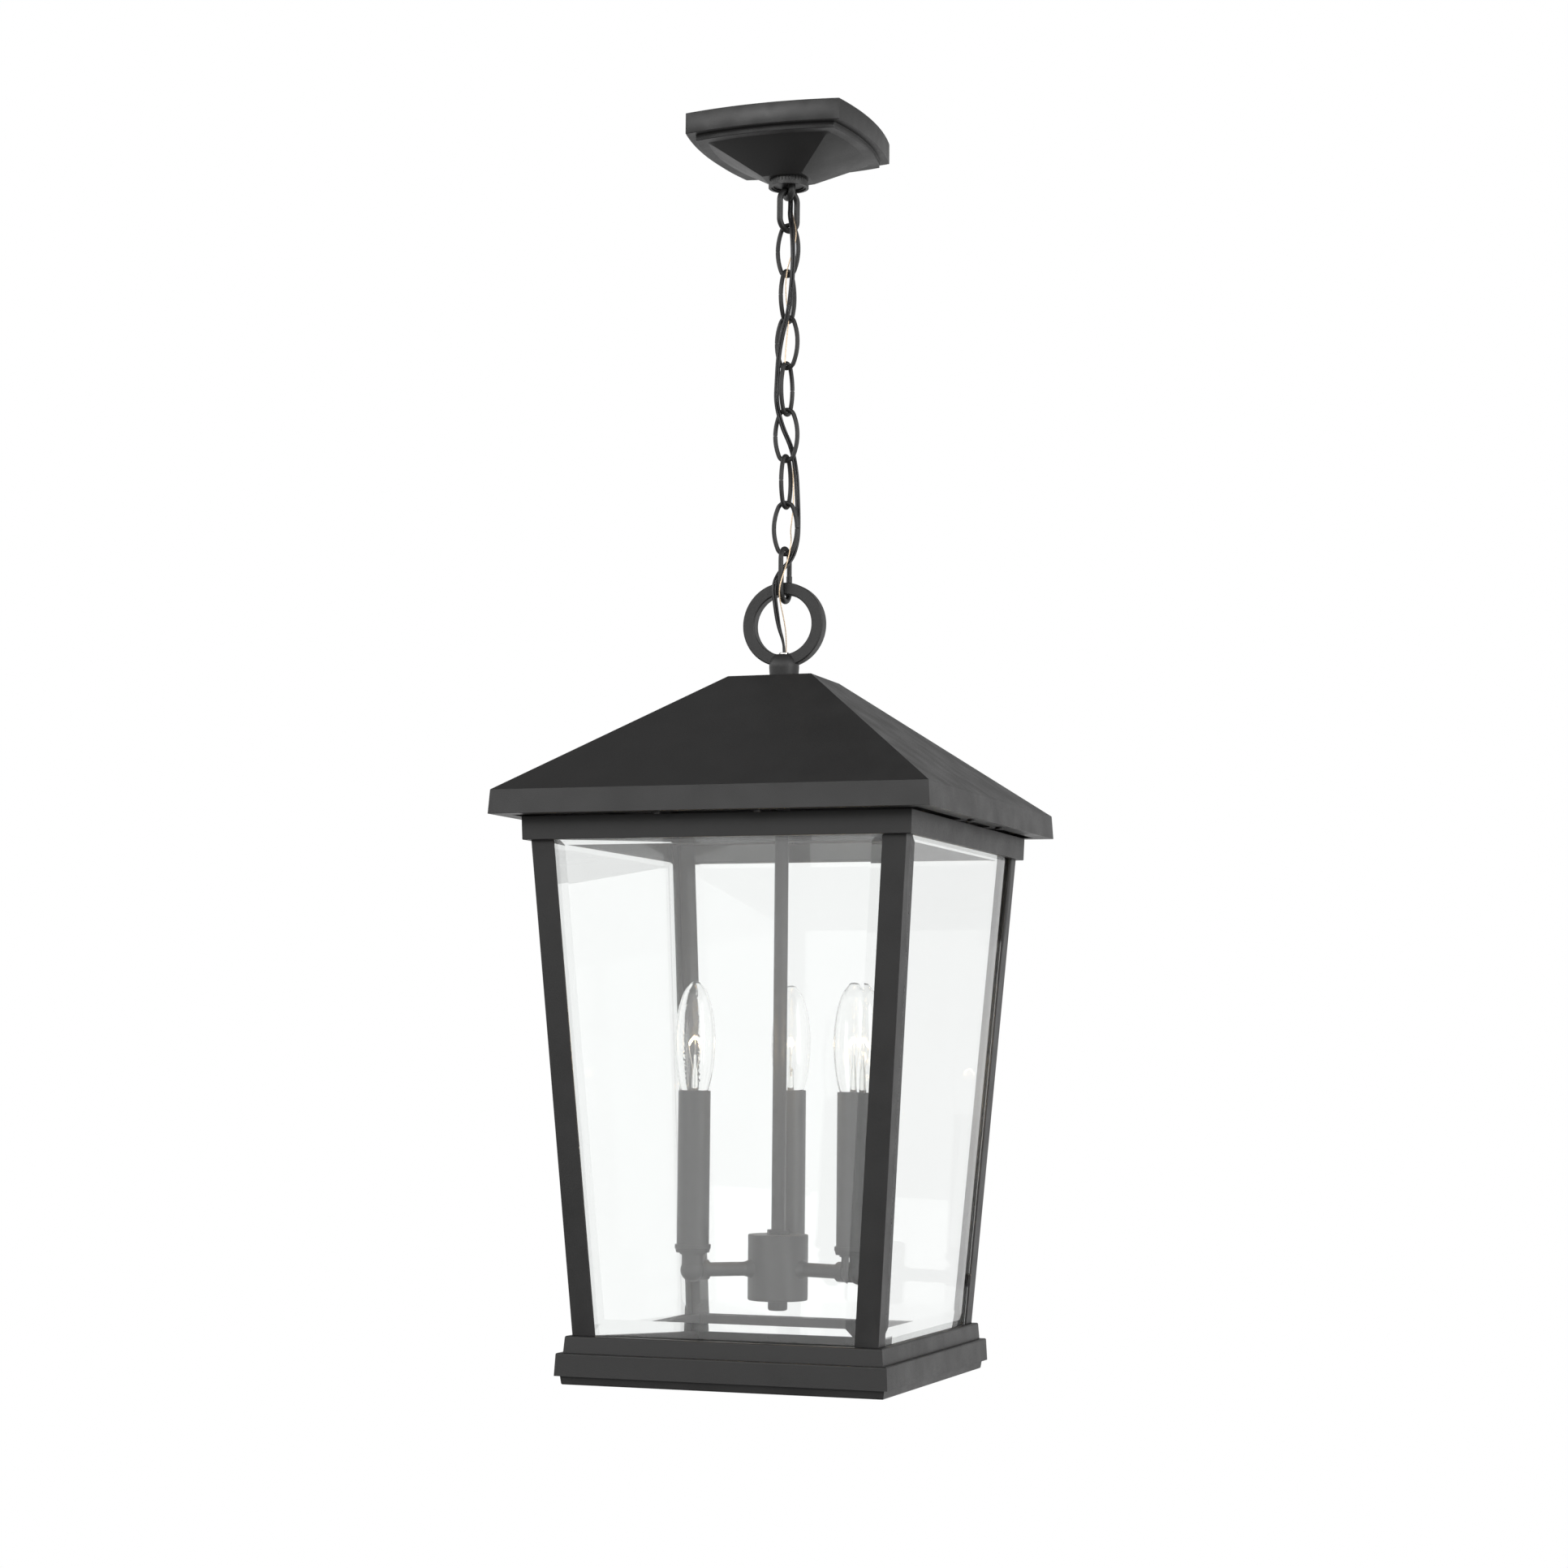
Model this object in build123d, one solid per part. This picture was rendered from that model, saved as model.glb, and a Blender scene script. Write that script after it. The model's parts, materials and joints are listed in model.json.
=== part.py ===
from build123d import *

import os
from math import asin, atan2, cos, hypot, pi, radians, sin, sqrt, tan

# Square lantern hung on a nine-link chain from a ceiling canopy, in millimetres, +Z up.
# The origin is the centre of the ceiling plane, so everything hangs below z = 0. The broad front
# of the lantern faces -Y. Every piece is one STEP file in parts/, named after its node.
os.makedirs("parts", exist_ok=True)

# ---- driving dimensions: canopy ----
canopy_half = 60.8          # half side, corner to corner
canopy_bow = 6.3            # how far each side bows out at its middle
canopy_rim = 16.0           # height of the rim
canopy_wall = 1.8
step_inset = 6.0            # recessed step under the rim
step_drop = 4.2
pyramid_inset = 7.3         # flat ledge between the step and the pyramid
pyramid_drop = 20.1
pyramid_end_half = 15.6     # half side of the pyramid's blunt end
crossbar_length = 104.0
crossbar_width = 18.0
crossbar_thick = 1.8
slot_spacing = 88.9         # ceiling-box screw spacing
slot_length = 12.0
slot_width = 4.6
nipple_r = 4.8
nipple_bore_r = 3.2
ground_x = 28.0             # earth screw on the crossbar
ground_shank_r = 1.95
ground_flats_r = 4.6
nut_mouth_x = -30.0         # mouths of the three splice caps
nut_row_y = [16.0, 27.0, 38.0]
nut_row_z = -9.5
nut_flats = 15.0
nut_thick = 4.0
fit = 0.05                  # radial clearance of a piece in its hole
barrel_r = 11.5             # threaded barrel of the loop
barrel_height = 14.0
collar_r = 15.3
collar_grip_r = 14.7
collar_height = 6.1
collar_grooves = 36

# ---- driving dimensions: eye and chain ----
eye_bar = 5.4
eye_half = 5.8              # from the eye's middle to its bar's middle
eye_yaw = -45.0
eye_drop = 13.2             # from the pyramid's end down to the middle of the eye's lower bar
link_gap = 0.2              # air between two links where one hangs in the other
link_yaw = [62, -9, 74, -9, 81, 0, 86, 10, 88]
first_length, first_width, first_wire = 35.6, 22.0, 4.6
link_length, link_width, link_wire = 42.5, 21.0, 3.35
link_end_r = 6.2            # centre-line radius of a wire link's ends
last_length, last_width, last_wire = 44.2, 21.6, 4.4
last_top_wire = 3.7         # the last link is thinner above its seam
split_gap = 0.6             # the open joint in each wire link
split_side = [-1, -1, -1, 1, -1, -1, 1]

# ---- driving dimensions: cord ----
cord_d = 4.0                # two insulated wires and a bare earth, as one bundle
cord_hole_r = 2.3
lead_d = 1.1
corner_share = 0.45         # share of the shorter run that an arc may take

# ---- driving dimensions: ring and roof ----
ring_r = 31.8
ring_bar = 9.1              # radial
ring_depth = 9.5
ring_round = 1.0
ring_seat = 2.35            # rise of the flat bar in the round of the last link, with its air
hub_top_r = 7.4
hub_r = 11.3
hub_foot_r = 10.5
hub_height = 18.7
hub_belly = 9.4             # the hub is widest this far below its top
bushing_r = 3.9
bushing_rise = 1.9
bushing_bore_r = 2.4
roof_top_half = 32.6
roof_half = 163.9
roof_rise = 93.0
fascia_height = 17.6
fascia_flare = 1.1
sheet = 1.6
return_flange = 13.0        # the fascia's folded lower edge, inwards

# ---- driving dimensions: body ----
eave_gap = 0.5              # air between the roof's edge and the frame
frame_half = 146.8
frame_height = 17.1
frame_taper = 0.6
frame_flange_half = 118.0   # the frame's top opening
frame_lip = 4.2
post_top_half = 141.3       # outer half width of the four posts at the frame's lower edge
post_foot_half = 114.8      # the same where they stand on the base
post_face_x = 17.5
post_face_y = 14.5
post_length = 352.9         # from the frame's lower edge to the base
glass_thick = 4.0
glass_edge = 2.0
glass_bevel = 19.0
glass_air = 0.2
glass_side_air = 6.4        # from the posts' outer corner line to the glass's edge
glass_sunk = 6.7            # how far the glass stands below the base's top
base_half = 118.7
base_draft = 0.9
base_step_height = 11.8
base_opening_half = 100.0
channel_inner = 101.6
trim_half = 123.6
trim_draft = 0.8
trim_height = 16.2
lip_half = 121.1
lip_draft = 0.8
lip_height = 6.2
trim_opening_half = 104.0
edge_round = 1.2
clip_width = 14.0
clip_spacing = 75.0
glass_clip_width = 22.0
glass_clip_height = 6.4      # inside the channel
tall_clip_height = 12.4      # the one clip that shows above the base
glass_clip_offset = 82.0
screw_r = 1.6
screw_head_r = 2.7
screw_head = 1.8

# ---- driving dimensions: candle cluster ----
stem_r = 5.15
stem_bore_r = 3.6
cluster_r = 22.2
cluster_wall = 1.4
top_cap_height = 9.4
body_height = 30.8
bottom_cap_height = 7.8
finial_r = 7.2
finial_height = 7.6
finial_shank_r = 2.9
cluster_drop = 69.3         # from the base's top up to the top of the cluster
candle_circle_r = 67.5
candle_angles = [-17.4, 102.6, 222.6]
arm_r = 5.15
arm_bore_r = 3.6
arm_boss_r = 7.3
arm_depth = 24.7            # from the top of the cluster to the arms' centre line
knuckle_r = 8.8
cup_r = 13.1
cup_height = 5.8
sleeve_r = 11.8
sleeve_bore_r = 10.9
sleeve_length = 115.3
socket_r = 9.6
socket_height = 40.0
socket_drop = 5.5           # the socket's mouth is below the sleeve's
socket_bore_r = 6.3
socket_stud_r = 3.1
base_shell_r = 5.9
base_shell_length = 21.0
bulb_r = 14.9
bulb_belly = 41.0           # height of the widest place above the bulb's foot
bulb_tail = 48.7            # how fast it narrows below that, as an ellipse's half axis
bulb_length = 84.9
bulb_wall = 0.8

# ---- heights that follow from them ----
z_step = -canopy_rim
z_ledge = z_step - step_drop
z_pyramid_end = z_ledge - pyramid_drop
z_collar_bottom = z_pyramid_end - collar_height
z_eye = z_pyramid_end - eye_drop


def chain_places():
    """Top and bottom wire centres of the nine links, working down from the eye."""
    sizes = [(first_length, first_wire)] + [(link_length, link_wire)] * 7 + [(last_length, last_wire)]
    z_seat = z_eye + eye_bar / 2
    places = []
    for length, wire in sizes:
        top = z_seat + link_gap + wire / 2
        bottom = top - (length - wire)
        places.append((top, bottom))
        z_seat = bottom + wire / 2
    return places


links = chain_places()
z_last_seat = links[-1][1] + last_wire / 2
z_ring_inner_top = z_last_seat + ring_seat
z_ring = z_ring_inner_top + ring_bar - ring_r
z_hub_top = z_ring - ring_r + ring_bar
z_roof = z_hub_top - hub_height
z_eave_top = z_roof - roof_rise
z_eave = z_eave_top - fascia_height
z_frame = z_eave - eave_gap
z_frame_bottom = z_frame - frame_height
z_base = z_frame_bottom - post_length
z_trim = z_base - base_step_height
z_lip = z_trim - trim_height
z_bottom = z_lip - lip_height
z_cluster = z_base + cluster_drop
z_seam_upper = z_cluster - top_cap_height
z_seam_lower = z_seam_upper - body_height
z_cluster_bottom = z_seam_lower - bottom_cap_height
z_arm = z_cluster - arm_depth
z_cup = z_cluster - 6.2
z_sleeve_foot = z_cup - cup_height + 1.8
z_sleeve_top = z_sleeve_foot + sleeve_length
z_socket = z_sleeve_top - socket_drop
z_bulb = z_socket + 0.3


# ---- shapes used more than once ----
def cylinder(r, z_low, z_high, x=0.0, y=0.0):
    """An upright cylinder between two heights."""
    return Pos(x, y, z_low) * Cylinder(r, z_high - z_low, align=(Align.CENTER, Align.CENTER, Align.MIN))


def block(x_low, x_high, y_low, y_high, z_low, z_high):
    """A box given by its faces."""
    corner = Pos(x_low, y_low, z_low)
    size = (x_high - x_low, y_high - y_low, z_high - z_low)
    return corner * Box(*size, align=(Align.MIN, Align.MIN, Align.MIN))


def frustum(*sections):
    """A square solid through (half side, z) sections, from the highest to the lowest."""
    faces = [Pos(0, 0, z) * Rectangle(2 * half, 2 * half) for half, z in sections]
    return loft(faces, ruled=True)


def square_ring(outer_half, inner_half, z_low, z_high):
    """A straight-sided square ring."""
    return frustum((outer_half, z_high), (outer_half, z_low)) - frustum(
        (inner_half, z_high), (inner_half, z_low)
    )


def bowed_square(half, bow, z):
    """A square face whose sides bow out."""
    corners = [(half, -half), (half, half), (-half, half), (-half, -half)]
    middles = [(half + bow, 0), (0, half + bow), (-half - bow, 0), (0, -half - bow)]
    sides = [
        ThreePointArc(corners[i], middles[i], corners[(i + 1) % 4])
        for i in range(4)
    ]
    return Pos(0, 0, z) * make_face(Wire(sides))


def turned(points):
    """A solid of revolution about Z from an (r, z) outline."""
    outline = make_face(Polyline([(r, 0, z) for r, z in points], close=True))
    return revolve(outline, Axis.Z)


def hex_nut(flats, z_low, z_high, bore_r):
    """A hexagonal nut about the Z axis."""
    across = flats / sqrt(3)
    body = extrude(Pos(0, 0, z_low) * RegularPolygon(across, 6), z_high - z_low)
    return body - cylinder(bore_r, z_low, z_high)


def on_four_sides(shape):
    """Copies of a shape on the -Y side, one for each side of the square."""
    return [Rot(0, 0, 90 * i) * shape for i in range(4)]


def at_candles(shape):
    """Copies of a shape made at the candle circle on +X, one for each candle."""
    return [Rot(0, 0, angle) * shape for angle in candle_angles]


def flat(shapes):
    """The separate solids of several shapes, as one group."""
    solids = []
    for shape in shapes:
        solids += shape.solids()
    return Compound(children=solids)


def write(name, shape):
    """Save one node."""
    export_step(shape, f"parts/{name}.step")


# ---- canopy and what hangs from it ----
def canopy_cavity(half, depth_top, depth_bottom):
    """The straight hollow inside one level of the canopy."""
    return extrude(bowed_square(half, canopy_bow, depth_bottom), depth_top - depth_bottom)


def canopy_shell():
    step_half = canopy_half - step_inset
    pyramid_half = step_half - pyramid_inset
    end_bow = canopy_bow * pyramid_end_half / canopy_half
    rim = canopy_cavity(canopy_half, 0, z_step)
    step = canopy_cavity(step_half, z_step, z_ledge)
    pyramid = loft(
        [
            bowed_square(pyramid_half, canopy_bow, z_ledge),
            bowed_square(pyramid_end_half, end_bow, z_pyramid_end),
        ],
        ruled=True,
    )
    wall = canopy_wall
    hollow_rim = canopy_cavity(canopy_half - wall, 0, z_step + wall)
    hollow_step = canopy_cavity(step_half - wall, z_step + wall, z_ledge + wall)
    hollow_pyramid = loft(
        [
            bowed_square(pyramid_half - wall, canopy_bow, z_ledge + wall),
            bowed_square(pyramid_end_half - wall, end_bow, z_pyramid_end + wall),
        ],
        ruled=True,
    )
    shell = rim + step + pyramid - hollow_rim - hollow_step - hollow_pyramid
    return shell - cylinder(barrel_r + fit, z_pyramid_end - 1, z_pyramid_end + wall + 1)


def crossbar():
    bar = block(-crossbar_length / 2, crossbar_length / 2, -crossbar_width / 2, crossbar_width / 2,
                -crossbar_thick, 0)
    slot = extrude(SlotOverall(slot_length, slot_width), -crossbar_thick)
    bar -= Pos(slot_spacing / 2, 0, 0) * slot
    bar -= Pos(-slot_spacing / 2, 0, 0) * slot
    bar -= cylinder(nipple_r + fit, -crossbar_thick, 0)
    return bar - cylinder(ground_shank_r + fit, -crossbar_thick, 0, x=ground_x)


def ground_screw():
    under = -crossbar_thick
    head = extrude(Pos(ground_x, 0, under - 2.6) * RegularPolygon(ground_flats_r, 6), 2.6)
    return head + cylinder(ground_shank_r, under, -0.3, x=ground_x)


z_barrel_top = z_pyramid_end + barrel_height
z_barrel_bottom = z_pyramid_end - 4.3
z_nipple_foot = z_barrel_bottom + 6.0


def threaded_nipple():
    tube = cylinder(nipple_r, z_nipple_foot, -0.4)
    return tube - cylinder(nipple_bore_r, z_nipple_foot, -0.4)


def nipple_locknut():
    return hex_nut(nut_flats, -crossbar_thick - nut_thick, -crossbar_thick, nipple_r + fit)


def canopy_loop():
    """Threaded barrel with a U-shaped eye under it and a hole beside the eye for the cord."""
    barrel = cylinder(barrel_r, z_barrel_bottom, z_barrel_top)
    barrel -= cylinder(nipple_r + fit, z_nipple_foot - 0.5, z_barrel_top)
    barrel -= cylinder(cord_hole_r, z_barrel_bottom, z_barrel_top, x=cord_route[0][0], y=cord_route[0][1])
    z_bend = z_eye + eye_half
    z_root = z_barrel_bottom + 1.0
    path = Wire([
        Line((eye_half, 0, z_root), (eye_half, 0, z_bend)),
        ThreePointArc((eye_half, 0, z_bend), (0, 0, z_eye), (-eye_half, 0, z_bend)),
        Line((-eye_half, 0, z_bend), (-eye_half, 0, z_root)),
    ])
    bar = Plane((eye_half, 0, z_root), z_dir=(0, 0, -1)) * Circle(eye_bar / 2)
    return barrel + Rot(0, 0, eye_yaw) * sweep(bar, path)


def collar_ring():
    grip_bottom = z_collar_bottom + 2.5
    ring = cylinder(collar_grip_r, grip_bottom, z_pyramid_end)
    ring += cylinder(collar_r, z_collar_bottom, grip_bottom)
    ring -= cylinder(barrel_r + fit, z_collar_bottom, z_pyramid_end)
    ring -= cylinder(barrel_r + 1.7, z_collar_bottom, z_collar_bottom + 0.9)
    groove = cylinder(0.55, grip_bottom, z_pyramid_end, x=collar_grip_r + 0.15)
    for i in range(collar_grooves):
        ring -= Rot(0, 0, i * 360 / collar_grooves) * groove
    return ring


def wire_nuts():
    mouth = [(0, 3.0), (3.6, 3.0), (3.6, 0)]
    cap = turned(mouth + [(4.9, 0), (4.9, 3.0), (3.4, 17.0), (0, 17.0)])
    row = [Pos(nut_mouth_x, y, nut_row_z) * Rot(0, -90, 0) * cap for y in nut_row_y]
    return flat(row)


# ---- the cord: one route from the canopy to the hub ----
# Points from the barrel's hole down through the chain, round the front of the ring and
# into the hub's bushing.
cord_route = [
    (-1.5, 8.2, -31.0),
    (-1.5, 8.2, -40.5),
    (-1.5, 8.7, -50.0),
    (-1.2, 8.2, -59.0),
    (1.0, 1.0, -67.5),
    (5.5, -7.5, -77.0),
    (8.0, -11.5, -92.0),
    (8.5, -12.0, -109.0),
    (7.0, -11.0, -127.0),
    (4.0, -8.5, -144.0),
    (-1.5, -7.0, -161.0),
    (-5.0, -5.5, -178.0),
    (-6.0, -5.0, -196.0),
    (-6.5, -5.5, -213.0),
    (-2.5, -2.5, -231.0),
    (3.5, 2.5, -246.0),
    (6.0, 6.0, -263.0),
    (6.5, 8.0, -282.0),
    (7.0, 9.0, -301.0),
    (7.0, 8.0, -317.0),
    (4.0, 4.0, -331.5),
    (-3.0, -3.5, -341.5),
    (-6.0, -9.0, -353.0),
    (-4.5, -8.0, -368.0),
    (-3.0, -4.5, -384.0),
    (-0.5, -0.5, -394.5),
    (0.0, 0.0, -404.0),
]
# The leads inside the canopy, from the barrel's hole to the wire nuts.
canopy_route = [
    (-1.5, 8.2, -31.0),
    (-1.5, 8.2, -25.0),
    (-5.0, 14.0, -18.5),
    (-11.5, 21.0, -12.5),
    (-19.5, 27.0, -9.5),
]


def cord_tube(route, diameter):
    """A round tube along straight runs joined by tangent arcs."""
    points = [Vector(*p) for p in route]
    radii = []
    for before, here, after in zip(points, points[1:], points[2:]):
        turn = (here - before).get_angle(after - here)
        shorter = min((here - before).length, (after - here).length)
        radii.append(corner_share * shorter / tan(radians(turn) / 2))
    path = FilletPolyline(*points, radius=radii)
    start = Plane(points[0], z_dir=points[1] - points[0])
    tube = sweep(start * Circle(diameter / 2), path)
    section = pi * diameter**2 / 4
    print("cord arcs", [round(r, 1) for r in radii], "length", round(path.length, 1))
    print("cord volume", round(tube.volume, 1), "section by length", round(section * path.length, 1))
    return tube


def cord_stretch(tube, z_high, z_low):
    """The part of the tube between two heights."""
    reach = canopy_half
    return tube & block(-reach, reach, -reach, reach, z_low, z_high)


def cord_canopy(tube):
    """The lead above the first pivot, and its conductors up to the wire nuts."""
    upper = cord_tube(canopy_route, cord_d)
    pieces = [upper, cord_stretch(tube, cord_route[0][2], z_eye)]
    end = Vector(*canopy_route[-1])
    spread = (cord_d - lead_d) / 2 - 0.1
    for side, y in zip((-1, 0, 1), nut_row_y):
        start = end + Vector(-0.25, side * spread, 0)
        mouth = Vector(nut_mouth_x - 2.0, y, nut_row_z)
        run = mouth - start
        lead = Plane(start, z_dir=run) * Circle(lead_d / 2)
        pieces.append(extrude(lead, run.length))
    return flat(pieces)


def cord_lantern(tube):
    """The lead from the last pivot to the hub, and straight down the stem to the cluster."""
    end = cord_route[-1][2]
    lower = cylinder(cord_d / 2, z_seam_upper - 8, end)
    return flat([cord_stretch(tube, links[-1][1], end), lower])


# ---- chain links ----
def oval_link(length, width, wire, end_r, gap):
    """A wire link in the XZ plane about the origin, bent from four arcs, open at +X."""
    half_long = (length - wire) / 2
    half_wide = (width - wire) / 2
    rise = half_long - end_r
    side_r = (half_wide**2 + rise**2 - end_r**2) / (2 * (half_wide - end_r))
    reach = hypot(side_r - half_wide, rise)
    join_x = end_r * (side_r - half_wide) / reach
    join_z = rise + end_r * rise / reach
    lean = atan2(join_z, join_x + side_r - half_wide)
    start_angle = gap / 2 / side_r

    def side_point(angle):
        return (half_wide - side_r + side_r * cos(angle), side_r * sin(angle))

    def at(x, z):
        return (x, 0, z)

    start = side_point(start_angle)
    middle = side_point((start_angle + lean) / 2)
    path = Wire([
        ThreePointArc(at(*start), at(*middle), at(join_x, join_z)),
        ThreePointArc(at(join_x, join_z), at(0, half_long), at(-join_x, join_z)),
        ThreePointArc(at(-join_x, join_z), at(-half_wide, 0), at(-join_x, -join_z)),
        ThreePointArc(at(-join_x, -join_z), at(0, -half_long), at(join_x, -join_z)),
        ThreePointArc(at(join_x, -join_z), at(middle[0], -middle[1]), at(start[0], -start[1])),
    ])
    tangent = Vector(-sin(start_angle), 0, cos(start_angle))
    section = Plane(at(*start), z_dir=tangent) * Circle(wire / 2)
    return sweep(section, path)


def half_link(length, width, wire):
    """The lower U of a straight-sided link in the XZ plane, up to the link's middle."""
    half_wide = (width - wire) / 2
    z_bend = -(length - wire) / 2 + half_wide
    path = Wire([
        Line((half_wide, 0, 0), (half_wide, 0, z_bend)),
        ThreePointArc((half_wide, 0, z_bend), (0, 0, z_bend - half_wide), (-half_wide, 0, z_bend)),
        Line((-half_wide, 0, z_bend), (-half_wide, 0, 0)),
    ])
    section = Plane((half_wide, 0, 0), z_dir=(0, 0, -1)) * Circle(wire / 2)
    return sweep(section, path)


def placed_link(index, shape):
    """Turn a link to its own yaw and hang it at its own height."""
    top, bottom = links[index]
    return Pos(0, 0, (top + bottom) / 2) * Rot(0, 0, link_yaw[index]) * shape


def chain_link(index):
    if index == 0:
        lower = half_link(first_length, first_width, first_wire)
        return placed_link(index, lower + Rot(180, 0, 0) * lower)
    if index == len(links) - 1:
        lower = half_link(last_length, last_width, last_wire)
        upper_length = last_length - last_wire + last_top_wire
        upper_width = last_width - last_wire + last_top_wire
        upper = half_link(upper_length, upper_width, last_top_wire)
        return placed_link(index, lower + Rot(180, 0, 0) * upper)
    link = oval_link(link_length, link_width, link_wire, link_end_r, split_gap)
    facing = link if split_side[index - 1] > 0 else Rot(0, 0, 180) * link
    return placed_link(index, facing)


# ---- ring, roof and frame ----
def hanging_ring():
    """Square-section ring and its domed hub, one casting, bored for the bushing and the stem."""
    band = Plane.XZ * (Circle(ring_r) - Circle(ring_r - ring_bar))
    ring = Pos(0, 0, z_ring) * extrude(band, ring_depth / 2, both=True)
    ring = fillet(ring.edges(), ring_round)
    belly = z_hub_top - hub_belly
    outline = Wire([
        Line((0, 0, z_hub_top), (hub_top_r, 0, z_hub_top)),
        ThreePointArc((hub_top_r, 0, z_hub_top), (hub_r - 0.8, 0, z_hub_top - 4.6), (hub_r, 0, belly)),
        ThreePointArc((hub_r, 0, belly), (hub_r - 0.35, 0, belly - 5.0), (hub_foot_r, 0, z_roof)),
        Line((hub_foot_r, 0, z_roof), (0, 0, z_roof)),
        Line((0, 0, z_roof), (0, 0, z_hub_top)),
    ])
    hub = revolve(make_face(outline), Axis.Z)
    body = ring + hub
    body -= cylinder(bushing_r - 0.9 + fit, z_roof, z_hub_top + 1)
    body -= cylinder(bushing_r + fit, z_hub_top, z_hub_top + 1)
    return body - cylinder(stem_r + fit, z_roof, z_stem_top)


z_stem_top = z_roof + 11.0


def wire_bushing():
    shank = cylinder(bushing_r - 0.9, z_stem_top + 0.6, z_hub_top)
    flange = cylinder(bushing_r, z_hub_top, z_hub_top + bushing_rise)
    flange = fillet(flange.edges().group_by(Axis.Z)[-1], 0.8)
    return shank + flange - cylinder(bushing_bore_r, z_stem_top, z_hub_top + bushing_rise + 1)


def roof_shell():
    """Sheet-metal pyramid with an upright fascia folded in at its lower edge."""
    eave_half = roof_half + fascia_flare
    outer = frustum((roof_top_half, z_roof), (roof_half, z_eave_top), (eave_half, z_eave))
    slope = (roof_half - roof_top_half) / roof_rise
    drop = sheet * sqrt(1 + 1 / slope**2)
    top_half = roof_top_half - (drop - sheet) * slope
    side_half = roof_half - sheet
    side_top = z_roof - drop - (side_half - roof_top_half) / slope
    inner = frustum((top_half, z_roof - sheet), (side_half, side_top), (eave_half - sheet, z_eave))
    shell = outer - inner
    flange = square_ring(eave_half - sheet / 2, eave_half - return_flange, z_eave, z_eave + sheet)
    shell = shell + flange
    shell -= cylinder(stem_r + fit, z_roof - 2 * sheet, z_roof + 1)
    for hole in roof_screw_holes():
        shell -= hole
    return shell


def clip_centres():
    """Places along one side of the square where the roof is clipped to the frame."""
    return [-clip_spacing / 2, clip_spacing / 2]


eave_screw_y = -(roof_half + fascia_flare - return_flange / 2 - 1.5)
frame_screw_y = -(frame_half - 16.0)
z_eave_clip = z_eave + sheet
z_frame_clip = z_frame + sheet


def roof_screw_holes():
    hole = [cylinder(screw_r + fit, z_eave, z_eave_clip, x=x, y=eave_screw_y) for x in clip_centres()]
    return [turned_hole for one in hole for turned_hole in on_four_sides(one)]


def roof_clips():
    """Z-shaped straps from the frame's flange up to the roof's folded edge."""
    web_y = -(roof_half + fascia_flare - return_flange - 0.6)
    clips = []
    for x in clip_centres():
        left, right = x - clip_width / 2, x + clip_width / 2
        upper = block(left, right, eave_screw_y - 4.5, web_y + sheet, z_eave_clip, z_eave_clip + sheet)
        web = block(left, right, web_y, web_y + sheet, z_frame, z_eave_clip + sheet)
        lower = block(left, right, web_y, frame_screw_y + 6.0, z_frame, z_frame_clip)
        clip = upper + web + lower
        clip -= cylinder(screw_r + fit, z_eave_clip, z_eave_clip + sheet, x=x, y=eave_screw_y)
        clip -= cylinder(screw_r + fit, z_frame, z_frame_clip, x=x, y=frame_screw_y)
        clips += on_four_sides(clip)
    return flat(clips)


def roof_screws():
    """One screw up through the roof's edge and one down into the frame at each clip."""
    screws = []
    for x in clip_centres():
        eave_head = cylinder(screw_head_r, z_eave - screw_head, z_eave, x=x, y=eave_screw_y)
        eave_shank = cylinder(screw_r, z_eave, z_eave_clip + sheet + 1.5, x=x, y=eave_screw_y)
        frame_head = cylinder(screw_head_r, z_frame_clip, z_frame_clip + screw_head, x=x, y=frame_screw_y)
        frame_shank = cylinder(screw_r, z_frame - sheet - 1.5, z_frame_clip, x=x, y=frame_screw_y)
        screws += on_four_sides(eave_head + eave_shank)
        screws += on_four_sides(frame_head + frame_shank)
    return flat(screws)


def stem_locknuts():
    under_roof = z_roof - sheet
    upper = hex_nut(nut_flats, under_roof - nut_thick, under_roof, stem_r + fit)
    lower = hex_nut(nut_flats, z_cluster, z_cluster + nut_thick - 0.6, stem_r + fit)
    return flat([upper, lower])


def upper_frame():
    """Formed band with a wide top flange and a narrow lower lip."""
    low_half = frame_half - frame_taper
    band = frustum((frame_half, z_frame), (low_half, z_frame_bottom))
    band -= frustum((frame_half - sheet, z_frame - sheet), (low_half - sheet, z_frame_bottom + sheet))
    band -= frustum((frame_flange_half, z_frame), (frame_flange_half, z_frame - 2 * sheet))
    lip_opening = post_half(z_frame_bottom + sheet) + 0.3
    band -= frustum((lip_opening, z_frame_bottom + 2 * sheet), (lip_opening, z_frame_bottom))
    for x in clip_centres():
        for hole in on_four_sides(cylinder(screw_r + fit, z_frame - sheet, z_frame, x=x, y=frame_screw_y)):
            band -= hole
    return band


lean_rate = (post_top_half - post_foot_half) / post_length


def post_half(z):
    """Outer half width of the posts at a height."""
    return post_foot_half + (z - z_base) * lean_rate


def leaning_block(x_inset, y_inset, z_high, z_low, wide=0.0):
    """A four-sided solid that follows the posts' lean, inset from their outer faces."""
    faces = []
    for z in (z_high, z_low):
        half = post_half(z)
        faces.append(Pos(0, 0, z) * Rectangle(2 * (half - x_inset) + wide, 2 * (half - y_inset)))
    return loft(faces, ruled=True)


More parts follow.
